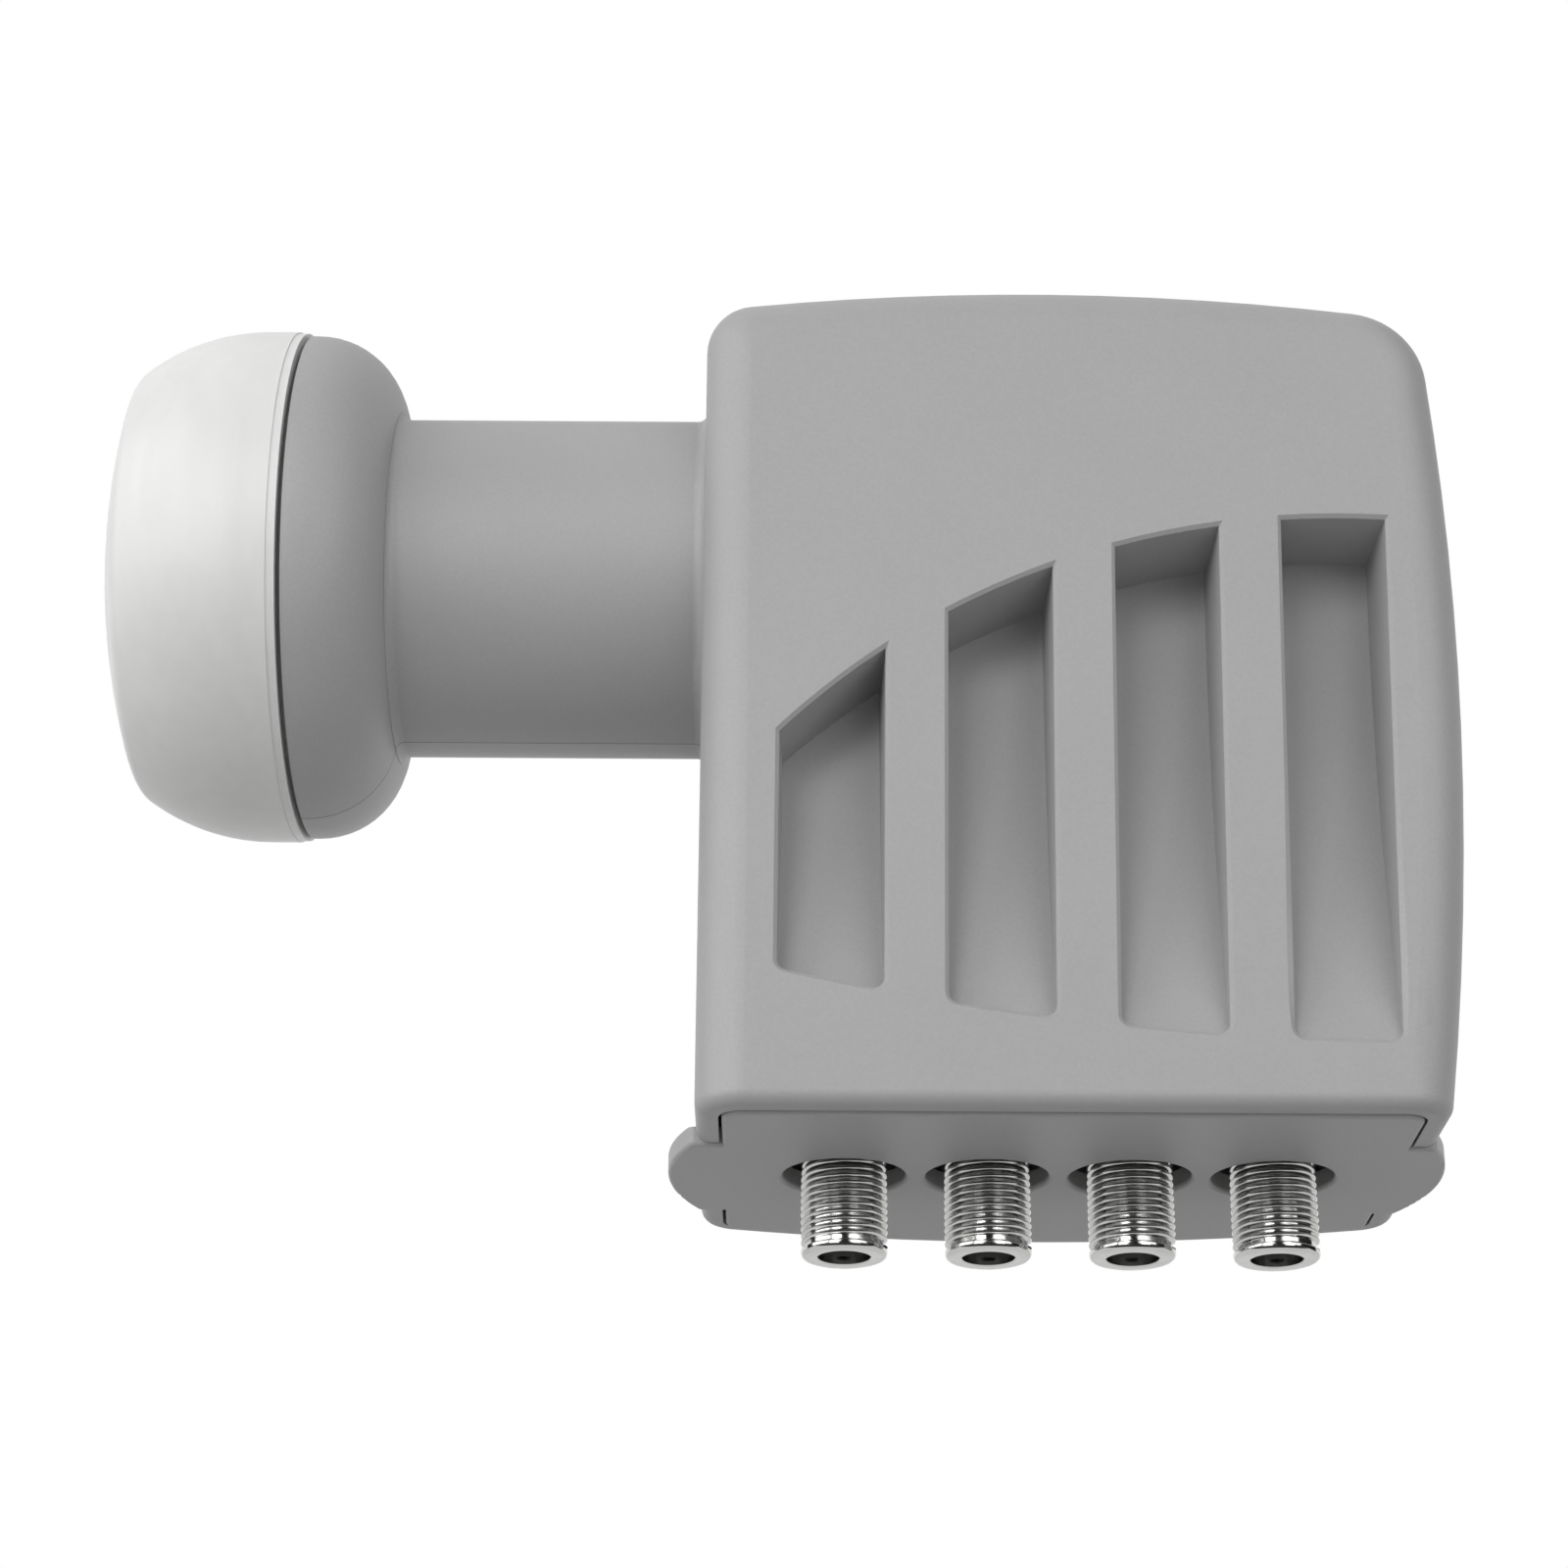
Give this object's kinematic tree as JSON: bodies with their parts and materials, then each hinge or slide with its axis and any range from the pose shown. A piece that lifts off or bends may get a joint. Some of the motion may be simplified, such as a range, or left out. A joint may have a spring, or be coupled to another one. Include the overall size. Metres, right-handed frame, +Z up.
{
  "type": "satellite lnb",
  "caption": "Satellite LNB with a white domed horn cap, a round clamping neck, a grey box with ramped recesses and threaded outputs in a sliding weather cover.",
  "frame": {"origin": "middle of the 40 mm clamping neck, on its axis", "axes": "+X along the neck from the horn cap to the box, +Z up and away from the outputs, +Y to the rear"},
  "size_m": [0.1541, 0.0604, 0.1117],
  "materials": {
    "grey_plastic": "fine spark-eroded texture, matt",
    "white_plastic": "smooth, satin",
    "seal_rubber": "moulded",
    "die_cast_metal": "as cast",
    "screw_steel": "zinc plated",
    "tinned_steel": "tinned sheet",
    "contact_brass": "turned",
    "nickel_plate": "bright nickel over turned metal",
    "white_insulator": "smooth, waxy",
    "board_laminate": "solder resist over laminate",
    "chip_resin": "moulded resin",
    "puck_ceramic": "fired"
  },
  "bodies": {
    "housing": {"shell_front": "grey_plastic", "shell_rear": "grey_plastic", "shell_screws": "screw_steel", "feed_cap": "white_plastic", "cap_seal": "seal_rubber", "chassis": "die_cast_metal", "chassis_gasket": "seal_rubber", "chassis_lid": "die_cast_metal", "lid_screws": "screw_steel", "tuning_screws": "contact_brass", "circuit_board": "board_laminate", "amplifier_shield": "tinned_steel", "circuit_chip_1": "chip_resin", "circuit_chip_2": "chip_resin", "circuit_chip_3": "chip_resin", "oscillator_puck_1": "puck_ceramic", "oscillator_puck_2": "puck_ceramic", "probe_vertical": "contact_brass", "probe_horizontal": "contact_brass", "probe_bush_1": "white_insulator", "probe_bush_2": "white_insulator", "f_connector_1": "nickel_plate", "f_connector_2": "nickel_plate", "f_connector_3": "nickel_plate", "f_connector_4": "nickel_plate", "connector_insulator_1": "white_insulator", "connector_insulator_2": "white_insulator", "connector_insulator_3": "white_insulator", "connector_insulator_4": "white_insulator", "centre_contact_1": "contact_brass", "centre_contact_2": "contact_brass", "centre_contact_3": "contact_brass", "centre_contact_4": "contact_brass"},
    "cover": {"weather_cover": "grey_plastic"}
  },
  "joints": [
    {"name": "cover_slide", "type": "slide", "parent": "housing", "child": "cover", "axis": [0, 0, -1], "range_m": [0, 0.0248]}
  ]
}
